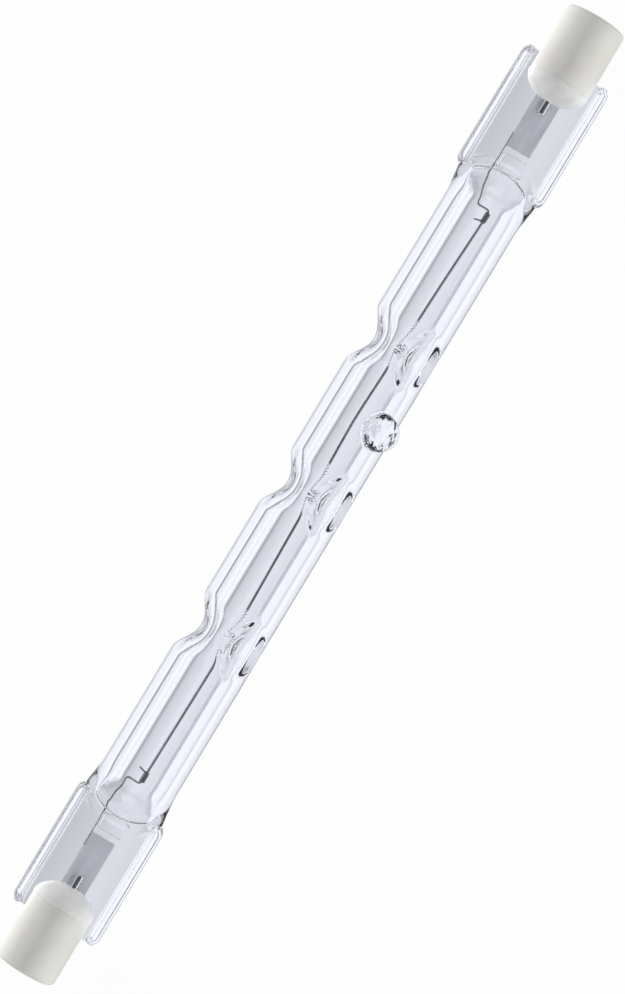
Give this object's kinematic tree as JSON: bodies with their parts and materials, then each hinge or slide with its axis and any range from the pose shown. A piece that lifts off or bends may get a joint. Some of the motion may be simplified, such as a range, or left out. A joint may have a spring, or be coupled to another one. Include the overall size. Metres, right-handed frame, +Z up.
{
  "type": "linear halogen bulb",
  "caption": "Linear halogen bulb: clear quartz tube with dimples that hold a long coiled filament, flat pinch seals, and ceramic end caps with recessed contacts.",
  "frame": {"origin": "middle of the footprint, on the surface that the bulb lies on", "axes": "+X along the bulb towards the end nearer the tip-off nub, +Z up; the flat seals are rolled about X as the bulb lies at rest"},
  "size_m": [0.1176, 0.0114, 0.0086],
  "materials": {
    "quartz": "clear, fire-polished",
    "tungsten": "drawn wire",
    "lead_wire": "drawn wire",
    "foil": "rolled, satin",
    "ceramic": "unglazed, smooth",
    "cement": "rough, matt",
    "contact": "nickel, dished"
  },
  "bodies": {
    "root": {"quartz_envelope": "quartz", "filament": "tungsten", "inner_lead_left": "lead_wire", "inner_lead_right": "lead_wire", "sealing_foil_left": "foil", "sealing_foil_right": "foil", "outer_lead_left": "lead_wire", "outer_lead_right": "lead_wire", "ceramic_cap_left": "ceramic", "ceramic_cap_right": "ceramic", "cap_cement_left": "cement", "cap_cement_right": "cement", "end_contact_left": "contact", "end_contact_right": "contact"}
  },
  "joints": []
}
